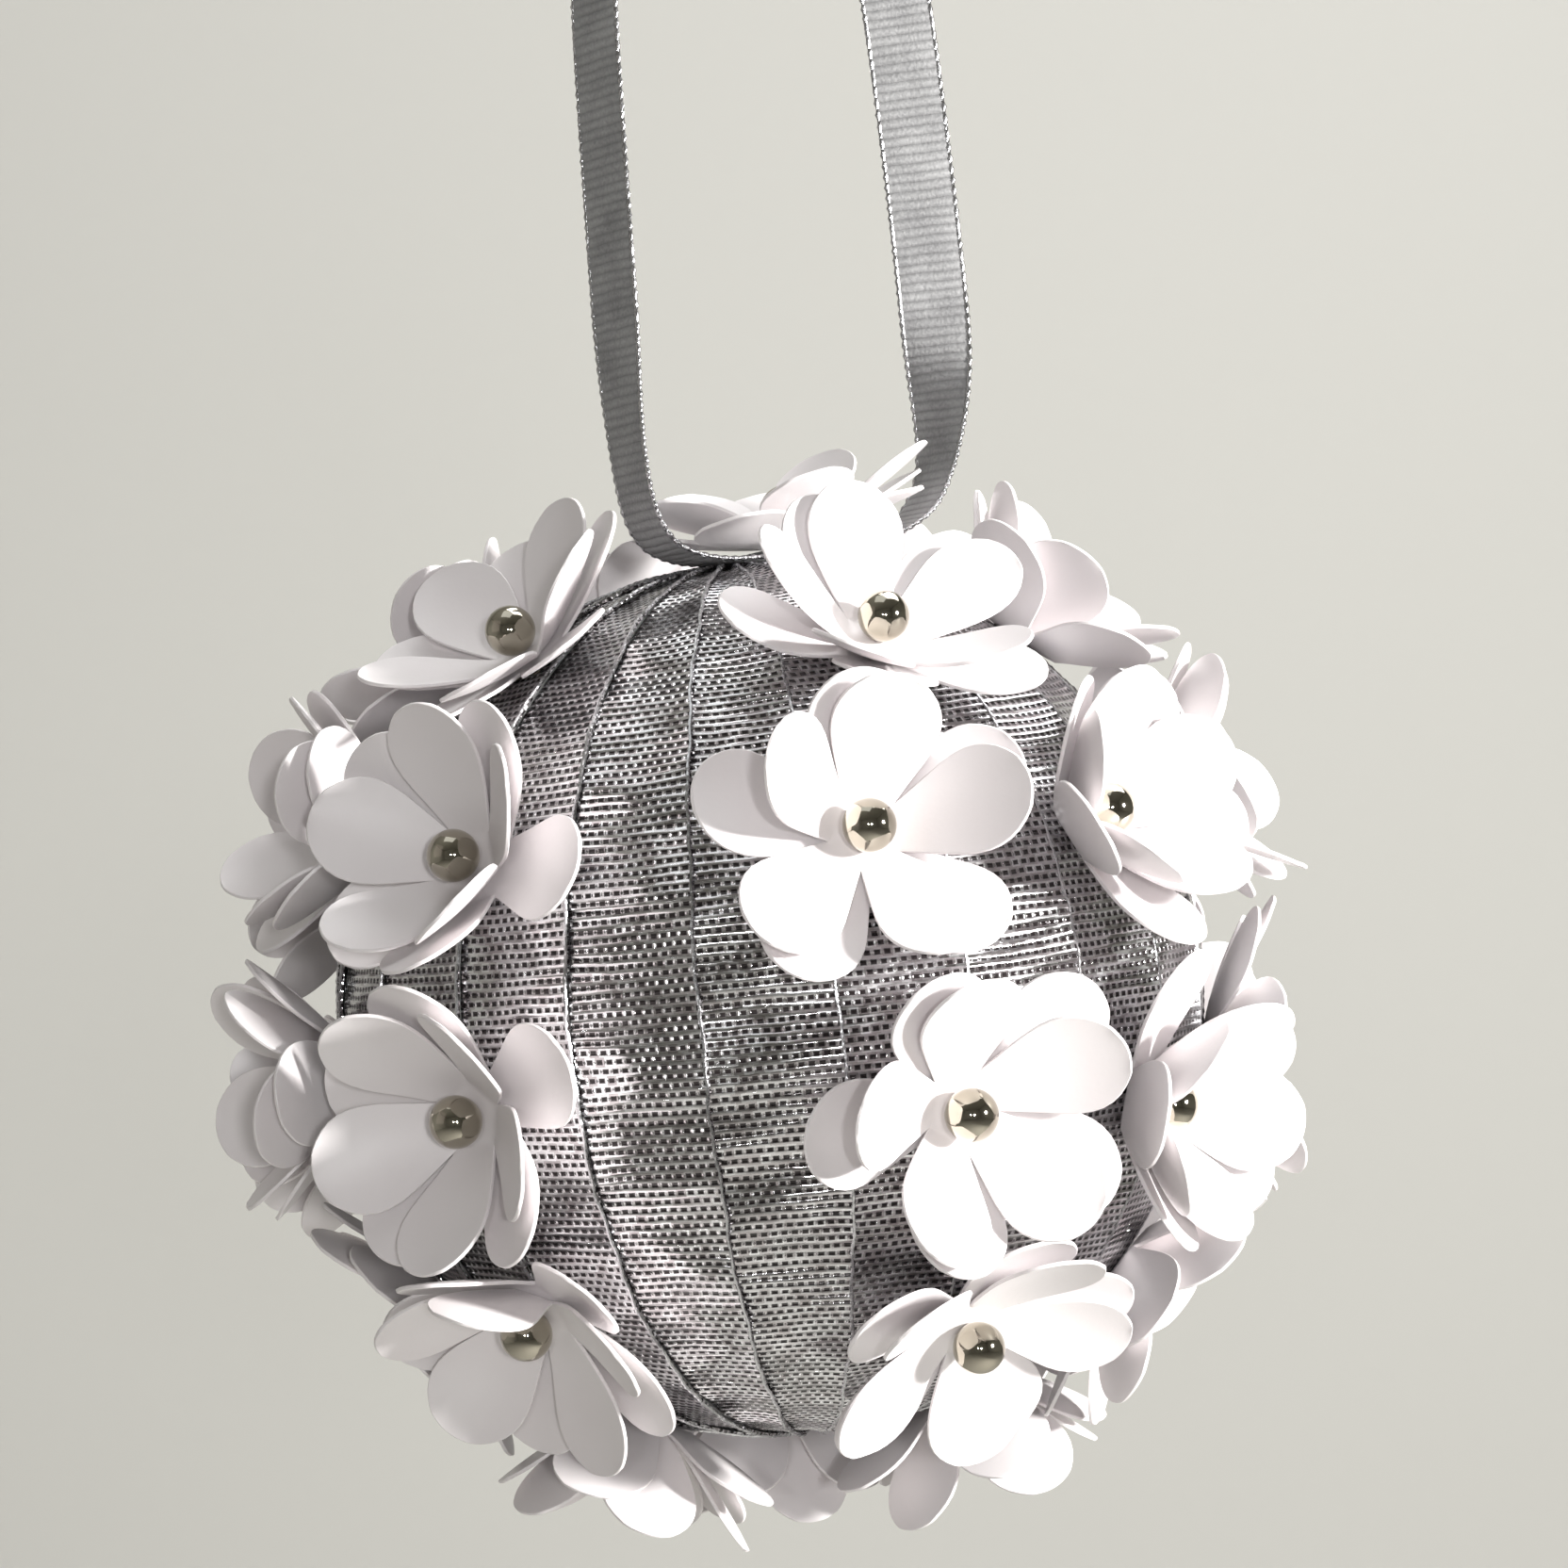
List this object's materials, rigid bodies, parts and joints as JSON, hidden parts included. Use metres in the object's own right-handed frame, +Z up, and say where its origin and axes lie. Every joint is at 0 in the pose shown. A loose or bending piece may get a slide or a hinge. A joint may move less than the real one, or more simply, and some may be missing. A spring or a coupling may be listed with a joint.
{
  "type": "paper flower ball ornament",
  "caption": "Hanging ball ornament: a foam ball wrapped in woven metallic ribbon and covered with pinned white card flowers, on a flat ribbon loop.",
  "frame": {"origin": "the hanging point: inside top of the ribbon loop, at the middle of its width", "axes": "+Z up along the ball's poles and the hanging loop, -Y towards the viewer, +X to the viewer's right"},
  "size_m": [0.0901, 0.0892, 0.1496],
  "materials": {
    "pearl_card": "pearly white card, smooth with a faint sheen",
    "wrap_ribbon": "silver metallic woven ribbon, glittering plain weave",
    "loop_ribbon": "grey ribbed ribbon with silver thread edges",
    "pin_metal": "bright silver plated ball head on a steel shaft",
    "foam": "white moulded foam"
  },
  "bodies": {
    "root": {"foam_ball": "foam", "ribbon_wrap": "wrap_ribbon", "hanging_loop": "loop_ribbon", "flower_pins": "pin_metal", "flower_top": "pearl_card", "flower_crown_1": "pearl_card", "flower_crown_2": "pearl_card", "flower_crown_3": "pearl_card", "flower_crown_4": "pearl_card", "flower_crown_5": "pearl_card", "flower_crown_6": "pearl_card", "flower_upper_1": "pearl_card", "flower_upper_2": "pearl_card", "flower_upper_3": "pearl_card", "flower_upper_4": "pearl_card", "flower_upper_5": "pearl_card", "flower_upper_6": "pearl_card", "flower_upper_7": "pearl_card", "flower_upper_8": "pearl_card", "flower_upper_9": "pearl_card", "flower_upper_10": "pearl_card", "flower_lower_1": "pearl_card", "flower_lower_2": "pearl_card", "flower_lower_3": "pearl_card", "flower_lower_4": "pearl_card", "flower_lower_5": "pearl_card", "flower_lower_6": "pearl_card", "flower_lower_7": "pearl_card", "flower_lower_8": "pearl_card", "flower_lower_9": "pearl_card", "flower_lower_10": "pearl_card", "flower_base_1": "pearl_card", "flower_base_2": "pearl_card", "flower_base_3": "pearl_card", "flower_base_4": "pearl_card", "flower_base_5": "pearl_card", "flower_base_6": "pearl_card", "flower_base_7": "pearl_card", "flower_foot_1": "pearl_card", "flower_foot_2": "pearl_card", "flower_foot_3": "pearl_card"}
  },
  "joints": []
}
